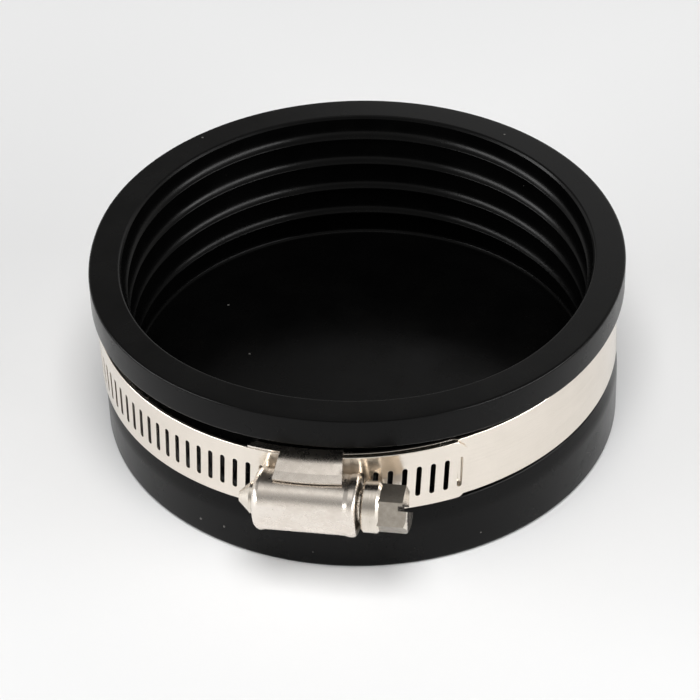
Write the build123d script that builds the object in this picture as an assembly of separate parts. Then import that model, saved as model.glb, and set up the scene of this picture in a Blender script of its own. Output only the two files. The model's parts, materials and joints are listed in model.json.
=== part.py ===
from build123d import *
import math
import os

# Flexible rubber end cap for a pipe, with its stainless worm-drive clamp.
# Frame: origin at the centre of the base, +Z up towards the open mouth, millimetres.
# The clamp's screw housing faces -Y and the screw's head points towards +X.

# ---- rubber end cap ------------------------------------------------------------
CAP_HEIGHT = 44.0
RIM_RADIUS = 62.0          # outside of the thick rim at the mouth
RIM_HEIGHT = 7.8
SEAT_RADIUS = 58.6         # bottom of the groove that the clamp sits in
BODY_RADIUS = 60.8         # below the groove
SEAT_LOW = -9.1            # lower side of the groove in the clamp's axes: the soft wall follows the band
SHOULDER_RADIUS = 59.9     # the wall narrows to this where it meets the groove
SHOULDER_DROP = 4.0        # height over which it does so
SHOULDER_FILLET = 0.5
BORE_RADIUS = 55.0         # inside wall between the sealing ribs
FLOOR_THICKNESS = 8.8
RIB_COUNT = 4
RIB_PITCH = 7.45
RIB_TOP_DEPTH = 5.9        # first rib's middle, below the mouth
RIB_HEIGHT = 2.0           # how far a rib stands into the bore
RIB_BASE_WIDTH = 5.2
RIB_CREST_WIDTH = 1.2      # before its corners are rounded
RIB_ROOT_DEPTH = 1.0       # how far its section reaches back into the wall
RIB_FILLET = 0.8
BASE_FILLET = 1.0
FLOOR_FILLET = 1.2
RIM_FILLET = 0.6

# ---- clamp as a whole ----------------------------------------------------------
CLAMP_Z = 24.4             # height of the clamp's centre
CLAMP_TILT = 1.7           # the band sits slightly askew in the groove
CLAMP_TILT_AZIMUTH = -11.0 # side on which the band rides highest
BAND_WIDTH = 15.88         # 5/8 inch
BAND_THICKNESS = 0.7
PLAIN_INNER_RADIUS = 59.8
SLOTTED_INNER_RADIUS = 60.65
HOUSING_AZIMUTH = -90.0

# ---- band ----------------------------------------------------------------------
SLOT_PITCH_DEG = 3.0
SLOT_COUNT = 48
FIRST_SLOT_AZIMUTH = -58.6
TAIL_AZIMUTH = -56.8
SLOT_LENGTH = 8.3
SLOT_WIDTH = 1.15
TAIL_CHAMFER = 2.2
LAP_HALF_ANGLE = 10.0      # the two halves of the strip overlap at the back
LAP_AZIMUTH = 90.0
ANCHOR_AZIMUTH = -100.0    # plain end, held in the saddle

# ---- worm screw, along its own axis, head on the positive side -----------------
THREAD_PITCH = 3.175       # 1/8 inch: one slot for each turn
THREAD_CREST_RADIUS = 5.6
THREAD_ROOT_RADIUS = 4.5
THREAD_CREST_WIDTH = 0.55
THREAD_ROOT_WIDTH = 1.0
THREAD_TURNS = 5
CREST_TO_CLAMP_AXIS = 60.7 # how deep the thread reaches into the slots
SCREW_DROP = 0.6           # the screw and the slots lie this far below the band's middle
JOURNAL_RADIUS = 3.6
POINT_RADIUS = 1.2
POINT_END = -14.8
POINT_START = -12.2
CORE_LOW = -8.9
CORE_HIGH = 9.2
COLLAR_RADIUS = 5.75
COLLAR_START = 12.0
COLLAR_END = 16.9
COLLAR_CHAMFER = 0.6
HEX_ACROSS_FLATS = 9.53    # 3/8 inch
HEX_END = 23.2
HEX_TURN = 5.3
HEX_CHAMFER = 0.9
DRIVER_SLOT_WIDTH = 1.1
DRIVER_SLOT_DEPTH = 2.1
DRIVER_SLOT_TURN = 138.0

# ---- screw housing -------------------------------------------------------------
HOUSING_HALF_LENGTH = 11.5
HOUSING_RADIUS = 6.8
HOUSING_BEAD_RADIUS = 7.0   # rolled ends
HOUSING_BEAD_LENGTH = 2.2
HOUSING_BEAD_ROUND = 0.9
HOUSING_BORE_RADIUS = 5.8
HOUSING_BORE_HALF = 9.5
JOURNAL_CLEARANCE = 0.1
BAND_CLEARANCE_RADIUS = 61.5
SKIRT_HALF_WIDTH = 7.9     # the barrel's sides spread to this width over the band
SKIRT_THICKNESS = 0.8

# ---- saddle --------------------------------------------------------------------
SADDLE_INNER_RADIUS = 59.2
SADDLE_THICKNESS = 0.55
SADDLE_HALF_WIDTH = 8.05   # inside faces of its folded sides
SADDLE_PLATE_WIDTH = 15.8
SADDLE_OVERLAP = 0.5       # how far a wing's section runs into the plate
SIDE_THICKNESS = 0.7
WING_RADIUS = 61.3         # a wing beside each tab turns out over the band's edge as far as this
WING_THICKNESS = 0.55
TAB_BEND_RADIUS = 62.3     # where a tab turns in towards the barrel
TAB_END_PAST_AXIS = 1.5    # the tabs' ends lie over the barrel, this far past the screw's axis
TAB_GAP = 0.15
SADDLE_START_ANGLE = -13.0 # the base plate's ends, measured from the housing's middle
SADDLE_END_ANGLE = 9.0
TAB_START_ANGLE = -5.8     # the tabs' ends, measured from the housing's middle
TAB_END_ANGLE = 7.2

SCREW_AXIS_RADIUS = CREST_TO_CLAMP_AXIS + THREAD_CREST_RADIUS
THREAD_LEAD_ANGLE = math.degrees(math.atan2(THREAD_PITCH, 2 * math.pi * THREAD_CREST_RADIUS))

# The clamp is modelled level, then tipped about its centre.
CLAMP_PLACE = (
    Pos(0, 0, CLAMP_Z)
    * Rot(0, 0, CLAMP_TILT_AZIMUTH)
    * Rot(0, -CLAMP_TILT, 0)
    * Rot(0, 0, -CLAMP_TILT_AZIMUTH)
)
# The screw is modelled along +Z with +X towards the band, then laid along the clamp's +X.
SCREW_PLACE = Location(Plane(origin=(0, -SCREW_AXIS_RADIUS, -SCREW_DROP), x_dir=(0, 1, 0), z_dir=(1, 0, 0)))


def corners(face, points):
    """The vertices of a flat face that lie at the given points."""
    return [v for v in face.vertices() for p in points if (v.center() - Vector(*p)).length < 1e-4]


def ring_sector(outline, start, end):
    """Turn a flat (radius, height) outline about Z from one azimuth to another."""
    return Rot(0, 0, start) * revolve(Plane.XZ * outline, Axis.Z, end - start)


def ring_section(inner, outer, low, high):
    """A rectangle in (radius, height)."""
    return Pos((inner + outer) / 2, (low + high) / 2) * Rectangle(outer - inner, high - low)


def rib_section():
    """One rib, from inside the wall to its rounded crest, about its own middle."""
    crest = [(-RIB_HEIGHT, -RIB_CREST_WIDTH / 2), (-RIB_HEIGHT, RIB_CREST_WIDTH / 2)]
    half = RIB_BASE_WIDTH / 2
    root = [(0, half), (RIB_ROOT_DEPTH, half), (RIB_ROOT_DEPTH, -half), (0, -half)]
    face = make_face(Polyline(*crest, *root, close=True))
    return fillet(corners(face, crest), RIB_FILLET)


def make_seat():
    """The groove for the clamp, cut square with the clamp's axis below and level under the rim."""
    rim_low = CAP_HEIGHT - RIM_HEIGHT
    wide = RIM_RADIUS + RIM_HEIGHT
    slope = SHOULDER_DROP / (BODY_RADIUS - SHOULDER_RADIUS)
    outline = [
        (SEAT_RADIUS, SEAT_LOW), (SHOULDER_RADIUS, SEAT_LOW),
        (wide, SEAT_LOW - slope * (wide - SHOULDER_RADIUS)), (wide, CAP_HEIGHT), (SEAT_RADIUS, CAP_HEIGHT),
    ]
    face = make_face(Polyline(*outline, close=True))
    face = fillet(corners(face, [(SHOULDER_RADIUS, SEAT_LOW)]), SHOULDER_FILLET)
    ring = CLAMP_PLACE * revolve(Plane.XZ * face, Axis.Z)
    return ring & Pos(0, 0, rim_low / 2) * Cylinder(2 * wide, rim_low)


def make_end_cap():
    rim_low = CAP_HEIGHT - RIM_HEIGHT
    outline = [
        (0, 0), (BODY_RADIUS, 0), (BODY_RADIUS, rim_low), (RIM_RADIUS, rim_low), (RIM_RADIUS, CAP_HEIGHT),
        (BORE_RADIUS, CAP_HEIGHT), (BORE_RADIUS, FLOOR_THICKNESS), (0, FLOOR_THICKNESS),
    ]
    face = make_face(Polyline(*outline, close=True))
    face = fillet(corners(face, [(BODY_RADIUS, 0)]), BASE_FILLET)
    face = fillet(corners(face, [(BORE_RADIUS, FLOOR_THICKNESS)]), FLOOR_FILLET)
    rounded = [(RIM_RADIUS, rim_low), (RIM_RADIUS, CAP_HEIGHT), (BORE_RADIUS, CAP_HEIGHT)]
    face = fillet(corners(face, rounded), RIM_FILLET)
    for number in range(RIB_COUNT):
        face += Pos(BORE_RADIUS, CAP_HEIGHT - RIB_TOP_DEPTH - number * RIB_PITCH) * rib_section()
    return revolve(Plane.XZ * face, Axis.Z) - make_seat()


def make_band(inner, start, end):
    outline = ring_section(inner, inner + BAND_THICKNESS, -BAND_WIDTH / 2, BAND_WIDTH / 2)
    return ring_sector(outline, start, end)


def make_band_slotted():
    start = LAP_AZIMUTH - LAP_HALF_ANGLE
    band = make_band(SLOTTED_INNER_RADIUS, start, TAIL_AZIMUTH + 360)
    tail = Rot(0, 0, TAIL_AZIMUTH) * Location((SLOTTED_INNER_RADIUS + BAND_THICKNESS / 2, 0, 0))
    for side in (-1, 1):
        # A square turned on its corner clips the tail's corner.
        clip = Pos(0, 0, side * BAND_WIDTH / 2) * Rot(45, 0, 0) * Box(
            4 * BAND_THICKNESS, TAIL_CHAMFER * math.sqrt(2), TAIL_CHAMFER * math.sqrt(2)
        )
        band -= tail * clip
    outline = SlotOverall(SLOT_LENGTH, SLOT_WIDTH, rotation=90 - THREAD_LEAD_ANGLE)
    cutter = extrude(
        Plane.YZ.offset(SLOTTED_INNER_RADIUS - BAND_THICKNESS) * Pos(0, -SCREW_DROP) * outline,
        3 * BAND_THICKNESS,
    )
    slots = [
        Rot(0, 0, FIRST_SLOT_AZIMUTH - number * SLOT_PITCH_DEG) * cutter
        for number in range(SLOT_COUNT)
    ]
    return band - slots


def tab_outline(side):
    """(radius, height) of a saddle tab: past the band's edge, then in and over the barrel."""
    barrel_top = HOUSING_RADIUS - side * SCREW_DROP
    tab_end = SCREW_AXIS_RADIUS + TAB_END_PAST_AXIS
    outer_half = SADDLE_HALF_WIDTH + SIDE_THICKNESS
    low = barrel_top + TAB_GAP
    points = [
        (SADDLE_INNER_RADIUS, SADDLE_HALF_WIDTH), (SADDLE_INNER_RADIUS, outer_half),
        (TAB_BEND_RADIUS, outer_half), (SCREW_AXIS_RADIUS, low + SIDE_THICKNESS),
        (tab_end, low + SIDE_THICKNESS - TAB_GAP), (tab_end, low - TAB_GAP / 2),
        (SCREW_AXIS_RADIUS, low), (TAB_BEND_RADIUS, SADDLE_HALF_WIDTH),
    ]
    return [(radius, side * height) for radius, height in points]


def skirt_outline(side):
    """(radius, height) of the housing's side, from the barrel's top to the band's edge."""
    barrel_top = HOUSING_RADIUS - side * SCREW_DROP
    points = [
        (BAND_CLEARANCE_RADIUS, SKIRT_HALF_WIDTH), (TAB_BEND_RADIUS, SKIRT_HALF_WIDTH),
        (SCREW_AXIS_RADIUS, barrel_top), (SCREW_AXIS_RADIUS, barrel_top - SKIRT_THICKNESS),
        (TAB_BEND_RADIUS, SKIRT_HALF_WIDTH - SKIRT_THICKNESS),
        (BAND_CLEARANCE_RADIUS, SKIRT_HALF_WIDTH - SKIRT_THICKNESS),
    ]
    return [(radius, side * height) for radius, height in points]


def over_the_tabs(points):
    """A closed (radius, height) outline turned over the tabs' stretch of the band."""
    face = make_face(Polyline(*points, close=True))
    return ring_sector(face, HOUSING_AZIMUTH + TAB_START_ANGLE, HOUSING_AZIMUTH + TAB_END_ANGLE)


def wing_outline(side):
    """(radius, height) of the wing beside a tab: up past the band's edge, then out over it."""
    plate_outer = SADDLE_INNER_RADIUS + SADDLE_THICKNESS
    plate_half = SADDLE_PLATE_WIDTH / 2
    top = SADDLE_HALF_WIDTH + WING_THICKNESS
    points = [
        (SADDLE_INNER_RADIUS, plate_half - SADDLE_OVERLAP), (SADDLE_INNER_RADIUS, top), (WING_RADIUS, top),
        (WING_RADIUS, SADDLE_HALF_WIDTH), (plate_outer, SADDLE_HALF_WIDTH),
        (plate_outer, plate_half - SADDLE_OVERLAP),
    ]
    return [(radius, side * height) for radius, height in points]


def make_saddle():
    base_outer = SADDLE_INNER_RADIUS + SADDLE_THICKNESS
    plate_half = SADDLE_PLATE_WIDTH / 2
    tab_half = SADDLE_HALF_WIDTH + SIDE_THICKNESS
    low = HOUSING_AZIMUTH + SADDLE_START_ANGLE
    high = HOUSING_AZIMUTH + SADDLE_END_ANGLE
    tab_low = HOUSING_AZIMUTH + TAB_START_ANGLE
    tab_high = HOUSING_AZIMUTH + TAB_END_ANGLE
    saddle = ring_sector(ring_section(SADDLE_INNER_RADIUS, base_outer, -plate_half, plate_half), low, high)
    saddle += ring_sector(
        ring_section(SADDLE_INNER_RADIUS, base_outer, -tab_half, tab_half), tab_low, tab_high
    )
    for side in (-1, 1):
        wing = make_face(Polyline(*wing_outline(side), close=True))
        saddle += ring_sector(wing, low, tab_low)
        saddle += over_the_tabs(tab_outline(side))
    return saddle


def make_screw_housing():
    half = HOUSING_HALF_LENGTH
    bead = HOUSING_BEAD_RADIUS
    inner_end = half - HOUSING_BEAD_LENGTH
    outline = [
        (0, -half), (bead, -half), (bead, -inner_end - 0.6), (HOUSING_RADIUS, -inner_end),
        (HOUSING_RADIUS, inner_end), (bead, inner_end + 0.6), (bead, half), (0, half),
    ]
    face = make_face(Polyline(*outline, close=True))
    face = fillet(corners(face, [(bead, -half), (bead, half)]), HOUSING_BEAD_ROUND)
    barrel = revolve(Plane.XZ * face, Axis.Z)
    housing = SCREW_PLACE * barrel
    for side in (-1, 1):
        housing += over_the_tabs(skirt_outline(side))
    housing -= SCREW_PLACE * Cylinder(HOUSING_BORE_RADIUS, 2 * HOUSING_BORE_HALF)
    housing -= SCREW_PLACE * Cylinder(JOURNAL_RADIUS + JOURNAL_CLEARANCE, 3 * half)
    housing -= Cylinder(BAND_CLEARANCE_RADIUS, 4 * BAND_WIDTH)
    return housing


def make_thread():
    # A crest faces the band where a slot's middle lies at rest.
    slot_offset = (FIRST_SLOT_AZIMUTH - HOUSING_AZIMUTH) % SLOT_PITCH_DEG
    pitch_radius = THREAD_PITCH / math.radians(SLOT_PITCH_DEG)
    first = pitch_radius * math.sin(math.radians(slot_offset)) - 3 * THREAD_PITCH
    path = Pos(0, 0, first) * Helix(THREAD_PITCH, THREAD_TURNS * THREAD_PITCH, THREAD_ROOT_RADIUS)
    bury = 0.3
    section_plane = Plane(origin=path @ 0, x_dir=(1, 0, 0), z_dir=path % 0)
    depth = THREAD_CREST_RADIUS - THREAD_ROOT_RADIUS
    section = make_face(Polyline(
        (-bury, -THREAD_ROOT_WIDTH / 2), (0, -THREAD_ROOT_WIDTH / 2),
        (depth, -THREAD_CREST_WIDTH / 2), (depth, THREAD_CREST_WIDTH / 2),
        (0, THREAD_ROOT_WIDTH / 2), (-bury, THREAD_ROOT_WIDTH / 2), close=True,
    ))
    return sweep(section_plane * section, path, is_frenet=True)


def make_worm_screw():
    turned = [
        (0, POINT_END), (POINT_RADIUS, POINT_END), (JOURNAL_RADIUS, POINT_START),
        (JOURNAL_RADIUS, CORE_LOW), (THREAD_ROOT_RADIUS, CORE_LOW), (THREAD_ROOT_RADIUS, CORE_HIGH),
        (JOURNAL_RADIUS, CORE_HIGH), (JOURNAL_RADIUS, COLLAR_START),
        (COLLAR_RADIUS - COLLAR_CHAMFER, COLLAR_START),
        (COLLAR_RADIUS, COLLAR_START + COLLAR_CHAMFER), (COLLAR_RADIUS, COLLAR_END - COLLAR_CHAMFER),
        (COLLAR_RADIUS - COLLAR_CHAMFER, COLLAR_END), (0, COLLAR_END),
    ]
    screw = revolve(Plane.XZ * make_face(Polyline(*turned, close=True)), Axis.Z)
    hexagon = RegularPolygon(HEX_ACROSS_FLATS / 2, 6, major_radius=False, rotation=HEX_TURN)
    head = Pos(0, 0, COLLAR_END) * extrude(hexagon, HEX_END - COLLAR_END)
    corner_radius = HEX_ACROSS_FLATS / math.sqrt(3)
    envelope = [
        (0, COLLAR_END), (corner_radius + 0.1, COLLAR_END), (corner_radius + 0.1, HEX_END - HEX_CHAMFER),
        (corner_radius - HEX_CHAMFER, HEX_END), (0, HEX_END),
    ]
    head &= revolve(Plane.XZ * make_face(Polyline(*envelope, close=True)), Axis.Z)
    screw += head
    screw += make_thread()
    slot_low = HEX_END - DRIVER_SLOT_DEPTH
    slot = Box(4 * COLLAR_RADIUS, DRIVER_SLOT_WIDTH, 2 * DRIVER_SLOT_DEPTH)
    screw -= Pos(0, 0, slot_low + DRIVER_SLOT_DEPTH) * Rot(0, 0, DRIVER_SLOT_TURN) * slot
    return SCREW_PLACE * screw


def main():
    clamp_pieces = {
        "band_plain": make_band(
            PLAIN_INNER_RADIUS, ANCHOR_AZIMUTH, LAP_AZIMUTH + LAP_HALF_ANGLE
        ),
        "band_slotted": make_band_slotted(),
        "saddle": make_saddle(),
        "screw_housing": make_screw_housing(),
        "worm_screw": make_worm_screw(),
    }
    nodes = {"end_cap": make_end_cap()}
    for name, piece in clamp_pieces.items():
        nodes[name] = CLAMP_PLACE * piece
    os.makedirs("parts", exist_ok=True)
    for name, piece in nodes.items():
        export_step(piece, os.path.join("parts", name + ".step"))


main()
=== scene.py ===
import json
import math
import bmesh
import bpy
from mathutils import Matrix, Quaternion, Vector


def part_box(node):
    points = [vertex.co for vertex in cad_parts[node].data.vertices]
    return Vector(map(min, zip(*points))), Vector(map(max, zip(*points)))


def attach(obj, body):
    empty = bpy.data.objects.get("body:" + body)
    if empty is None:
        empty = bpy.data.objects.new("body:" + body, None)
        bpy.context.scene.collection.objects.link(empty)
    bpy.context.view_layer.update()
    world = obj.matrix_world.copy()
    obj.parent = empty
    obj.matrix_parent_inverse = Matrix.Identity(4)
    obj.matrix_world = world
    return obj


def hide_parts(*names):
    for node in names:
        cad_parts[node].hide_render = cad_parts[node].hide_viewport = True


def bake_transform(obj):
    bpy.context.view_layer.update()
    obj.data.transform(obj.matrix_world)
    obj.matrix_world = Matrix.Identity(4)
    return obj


# Looks for the flexible rubber end cap and its stainless worm-drive clamp, in metres.
# The frame's origin is the centre of the base and +Z points to the open mouth.
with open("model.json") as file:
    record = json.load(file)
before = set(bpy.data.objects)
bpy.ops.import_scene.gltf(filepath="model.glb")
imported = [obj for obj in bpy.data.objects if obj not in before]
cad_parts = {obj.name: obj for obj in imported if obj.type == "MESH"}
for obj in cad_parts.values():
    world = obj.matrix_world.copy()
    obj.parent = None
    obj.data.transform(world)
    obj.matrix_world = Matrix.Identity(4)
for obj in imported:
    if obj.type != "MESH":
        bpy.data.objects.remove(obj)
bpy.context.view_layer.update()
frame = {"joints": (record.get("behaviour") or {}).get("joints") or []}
MM = 0.001

# ---- rubber end cap ------------------------------------------------------------
RIM_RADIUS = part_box("end_cap")[1].x
CAP_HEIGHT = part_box("end_cap")[1].z
RIM_HEIGHT = 7.8 * MM
SEAT_RADIUS = 58.6 * MM
SEAT_LOW = -9.1 * MM        # lower side of the groove, from the clamp's centre, in the clamp's axes
SHOULDER_RADIUS = 59.9 * MM
SHOULDER_DROP = 4.0 * MM
SHOULDER_ROUND = 12.0 * MM
BODY_RADIUS = 60.8 * MM
BORE_RADIUS = 55.0 * MM
FLOOR_THICKNESS = 8.8 * MM
RIB_COUNT = 4
RIB_PITCH = 7.45 * MM
RIB_TOP_DEPTH = 5.9 * MM
RIB_HEIGHT = 2.0 * MM
RIB_FLANK = 5.1 * MM        # each rib swells slowly out of the wall above its crest
RIB_FLANK_STEPS = 8
RIB_SWELL = 5               # power of the swelling, so most of it is close to the crest
RIB_UNDERSIDE = 1.1 * MM    # the rib falls back quickly below its crest
RIB_ROUND = 0.35 * MM
RIB_ROOT_ROUND = 0.3 * MM
WALL_INSET = 0.5 * MM       # between the ribs the wall stands this far in from the mouth's radius
MOUTH_STEP = 0.7 * MM       # height over which the mouth narrows to that wall
EDGE_ROUND = 0.6 * MM
BASE_ROUND = 1.0 * MM
FLOOR_ROUND = 1.2 * MM
CAP_SEGMENTS = 360
WALL_STEP = 2.5 * MM        # longest straight stretch of the cap's outline between two rings
DISC_SHARES = (0.01, 0.4, 0.8) # rings inside the base and the floor, as shares of their radius
FLOOR_FIRM = 0.8            # the floor stays round out to this share of the bore's radius
FLOOR_FIRM_FADE = 0.1
# The soft rim isn't quite round: (azimuth in degrees, half-width in degrees, how far it stands out).
RIM_BULGES = [(-134.0, 46.0, 1.35 * MM), (-45.0, 38.0, 0.5 * MM)]
BODY_LEAN = 0.3 * MM        # the lower body stands this far to +X of the rim

# ---- clamp, in its own axes: X along the screw, Z up the band -------------------
BAND_WIDTH = 15.88 * MM
BAND_THICKNESS = 0.7 * MM
BAND_EDGE_ROUND = 0.24 * MM
PLAIN_RADIUS = 59.8 * MM    # inside of the plain half
SLOTTED_RADIUS = 60.65 * MM # inside of the slotted half
# Azimuths, spans and turns are in degrees.
ANCHOR_AZIMUTH = -100.0
TAIL_AZIMUTH = -56.8
SEAM_AZIMUTH = 118.0        # the two halves of the strip meet here, at the back
CLIMB_AZIMUTH = 20.0        # from here to the seam the plain half climbs to the slotted half's radius
STEP_AZIMUTH = -58.2        # the plain half steps in between here
FAR_STEP_AZIMUTH = -86.0    # and here, under the slotted end
STEP_SPAN = 1.4
STEP_DEPTH = 0.55 * MM
STEP_MESH_END = -54.8       # the strap's mesh is finest between the window and here
WINDOW_SPAN = (-79.0, -59.8) # the plain half is open behind the slots
WINDOW_LOW = -6.4 * MM
WINDOW_HIGH = 4.6 * MM
WINDOW_RADII = (55.0 * MM, 65.0 * MM)
# Degrees between the rows of the strip's mesh.
ROWS_WIDE = 1.5
ROWS_CLOSE = 1.0
ROWS_CLOSER = 0.6
ROWS_CLOSEST = 0.25
WINDOW_ROWS = 32
SLOT_PITCH = 3.0
SLOT_COUNT = 48
FIRST_SLOT_AZIMUTH = -58.6
SLOT_LENGTH = 8.3 * MM
SLOT_WIDTH = 1.15 * MM
SLOT_SIDE_STEPS = 4
SLOT_ARC_STEPS = 8
TAIL_CORNER = 2.2 * MM
PRESS_ROUND = 0.09 * MM     # softened edges of punched and pressed metal
PUNCHED_EDGE = 60.0         # the strip's edges sharper than this are softened

SCREW_DROP = 0.6 * MM       # the screw and the slots lie this far below the band's middle
THREAD_PITCH = 3.175 * MM
CREST_RADIUS = 5.6 * MM
ROOT_RADIUS = 4.5 * MM
CREST_WIDTH = 0.55 * MM
ROOT_WIDTH = 1.0 * MM
THREAD_TURNS = 5
THREAD_STEPS = 48           # for each turn
THREAD_START = -8.0 * MM
THREAD_BURY = 0.3 * MM      # the thread's foot is sunk this far into the core
JOURNAL_RADIUS = 3.6 * MM
POINT_RADIUS = 1.2 * MM
POINT_END = -14.8 * MM
POINT_START = -12.2 * MM
END_RADIUS = 0.3 * MM       # the small flat face that closes each end of the turned shape
CORE_LOW = -8.9 * MM
CORE_HIGH = 9.2 * MM
COLLAR_RADIUS = 5.75 * MM
COLLAR_START = 12.75 * MM
COLLAR_END = 16.9 * MM
COLLAR_CHAMFER = 0.6 * MM
HEX_ACROSS_FLATS = 9.53 * MM
HEX_END = 23.2 * MM
HEX_BURY = 0.5 * MM         # the hexagon starts this far inside the collar
HEX_TURN = 5.3
HEX_CHAMFER = 0.9 * MM
ENVELOPE_SLACK = 1.02       # the shape that cuts the chamfer clears the hexagon's corners by this
DRIVER_SLOT_WIDTH = 1.1 * MM
DRIVER_SLOT_DEPTH = 2.1 * MM
DRIVER_SLOT_TURN = 138.0
SHORT_PRONG = 1.1 * MM      # the half of the head above the driver slot is this much shorter
FACET_AREA = 3.0 * MM * MM  # flats larger than this get painted shade: a darker copy of the steel than the edges round them
FACET_TILT = 0.1            # largest share of a flat's normal that points along the screw

HOUSING_LOW = -11.2 * MM
HOUSING_HIGH = 11.9 * MM
HOUSING_RADIUS = 6.75 * MM
BEAD_RADIUS = 6.98 * MM
BARREL_SEGMENTS = 128
# The barrel's section is a rounded square: this share of its radius at the middle of each side.
BARREL_FLATTEN = 0.926
BARREL_POWER = 2.6          # 2 is round, more is squarer
HIGH_HOLE_RADIUS = 5.3 * MM # the barrel is open behind the collar
HOLE_ROUND = 0.25 * MM
BEAD_LENGTH = 2.2 * MM
BEAD_ROUND = 0.9 * MM
NECK_HALF = 0.5 * MM        # half the length over which a bead narrows to the barrel
NECK_ROUND = 0.8 * MM
POINT_END_ROUND = 1.9 * MM  # the barrel is rounder at the end the screw's point comes out of
BORE_CLEAR_RADIUS = 5.8 * MM
BORE_HALF = 9.5 * MM
JOURNAL_HOLE_RADIUS = 3.75 * MM
BAND_CLEAR_RADIUS = 61.5 * MM # the housing is cut away inside this radius, where the band runs
CLEARANCE_INNER = 40.0 * MM
CLEARANCE_HALF_HEIGHT = 21.0 * MM
CLEARANCE_HALF_SPAN = 25.0
CLEARANCE_ROWS = 100
SKIRT_HALF_WIDTH = 7.9 * MM
SKIRT_THICKNESS = 0.8 * MM
SKIRT_ROUND = 0.8 * MM

HOUSING_AZIMUTH = -90.0
SADDLE_RADIUS = 59.2 * MM
SADDLE_THICKNESS = 0.55 * MM
SADDLE_HALF_WIDTH = 8.05 * MM
SADDLE_PLATE_HALF = 7.9 * MM
SADDLE_PLATE_INSET = 0.35 * MM # the plate stops this far inside the outer faces of tabs and wings
SIDE_THICKNESS = 0.7 * MM
WING_RADIUS = 61.3 * MM
WING_HEIGHT = 8.1 * MM
WING_THICKNESS = 0.45 * MM
WING_NARROWING = 0.9 * MM   # the wing's inner edge moves out by this much where it meets the tab
WING_OVERLAP = 0.5
WING_CUT = 1.3              # a wing's inner edge is this much shorter at its free end
WING_ROWS = 8
TAB_BEND_RADIUS = 62.3 * MM
TAB_BEND_ROUND = 8.0 * MM
CREASE_PAST_AXIS = -0.3 * MM
CREASE_LIFT = 0.75 * MM     # underside of the crease above the barrel's top
TAB_END_PAST_AXIS = 1.7 * MM
TAB_GAP = 0.1 * MM
TAB_FOLD_ROUND = 0.5 * MM
TAB_END_ROUND = 0.2 * MM
CREASE_ROUND = 1.0 * MM
SADDLE_SPAN = (-13.0, 9.0)  # from the housing's middle
SADDLE_ROWS = 22
TAB_SPAN = (-5.8, 7.2)
TAB_ROWS = 13
WING_PLATE_ROWS = 7

# ---- view and light ------------------------------------------------------------
# The camera looks at VIEW_AIM from these angles in degrees. Lens and sensor are in millimetres.
VIEW_AIM = Vector((0.45, -14.46, 25.53)) * MM
VIEW_AZIMUTH = 11.25
VIEW_ELEVATION = 38.68
VIEW_DISTANCE = 674.19 * MM
VIEW_ROLL = -1.59
LENS = 149.57
SENSOR_WIDTH = 36.0
NEAR_CLIP = 0.05
# Brightness of the room in reflections, by the sine of the elevation: pale at the horizon, darkest
# about half-way up and brightest overhead.
ROOM_GREYS = [
    (0.0, 0.90), (0.14, 0.85), (0.34, 0.60), (0.55, 0.28), (0.77, 0.34), (0.94, 0.60), (1.0, 1.15),
]
ROOM_TINT = (1.0, 0.985, 0.96)
# Each light's place, aim, size in metres, power in watts, and whether it shows in reflections.
LIGHTS = {
    "left": ((-1.15, -0.5, 0.42), (0, 0, 0.02), (1.3, 0.3), 12.5, True),
    "right": ((1.2, -0.35, 0.42), (0, 0, 0.02), (1.3, 0.3), 12.5, True),
    "back": ((0.12, 0.62, 0.36), (0, 0, 0.04), (0.5, 0.36), 0.35, True),
    "front": ((0.15, -0.7, 1.8), (0, 0, 0), (1.0, 1.0), 29.0, False),
}
FLOOR_HALF = 3.0
FLOOR_TONES = ((0.82, 0.82, 0.82), (0.85, 0.85, 0.85))


# ---- mesh helpers ---------------------------------------------------------------
SMOOTH_ANGLE = 32.0         # faces that meet at less than this are shaded as one surface
SHARP_ANGLE = 38.0          # edges sharper than this get rounded
EDGE_SEGMENTS = 2
TURNED_SEGMENTS = 96
AREA_SCALE = 1e6            # keeps sums of tiny areas well above rounding errors


def rounded(corners, steps=4):
    """A closed outline of 2-D points from (x, y, corner radius), each corner turned into an arc."""
    outline = []
    for index, (x, y, radius) in enumerate(corners):
        here = Vector((x, y))
        if radius == 0:
            outline.append(here)
            continue
        before = (Vector(corners[index - 1][:2]) - here).normalized()
        after = (Vector(corners[(index + 1) % len(corners)][:2]) - here).normalized()
        half = before.angle(after) / 2
        centre = here + (before + after).normalized() * radius / math.sin(half)
        first = here + before * radius / math.tan(half) - centre
        last = here + after * radius / math.tan(half) - centre
        turn = math.atan2(first.x * last.y - first.y * last.x, first.dot(last))
        for step in range(steps + 1):
            outline.append(centre + Matrix.Rotation(turn * step / steps, 2) @ first)
    return outline


def loft(rings, loop=False):
    """A mesh through closed rings of points. An open row of rings gets a face over each end."""
    mesh = bmesh.new()
    made = [[mesh.verts.new(point) for point in ring] for ring in rings]
    following = made[1:] + made[:1] if loop else made[1:]
    for ring, after in zip(made, following):
        for index in range(len(ring)):
            beside = (index + 1) % len(ring)
            mesh.faces.new((ring[index], ring[beside], after[beside], after[index]))
    if not loop:
        mesh.faces.new(made[0])
        mesh.faces.new(made[-1])
    bmesh.ops.recalc_face_normals(mesh, faces=mesh.faces)
    return mesh


def span(start, end, count):
    """Evenly spaced values from start to end, both included."""
    return [start + (end - start) * index / count for index in range(count + 1)]


def smoothstep(value):
    """0 below 0, 1 above 1, and a smooth rise between."""
    value = min(1.0, max(0.0, value))
    return value * value * (3 - 2 * value)


def new_piece(name, mesh):
    """An object made from a bmesh, which is used up."""
    data = bpy.data.meshes.new(name)
    mesh.to_mesh(data)
    mesh.free()
    piece = bpy.data.objects.new(name, data)
    bpy.context.scene.collection.objects.link(piece)
    return piece


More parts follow.
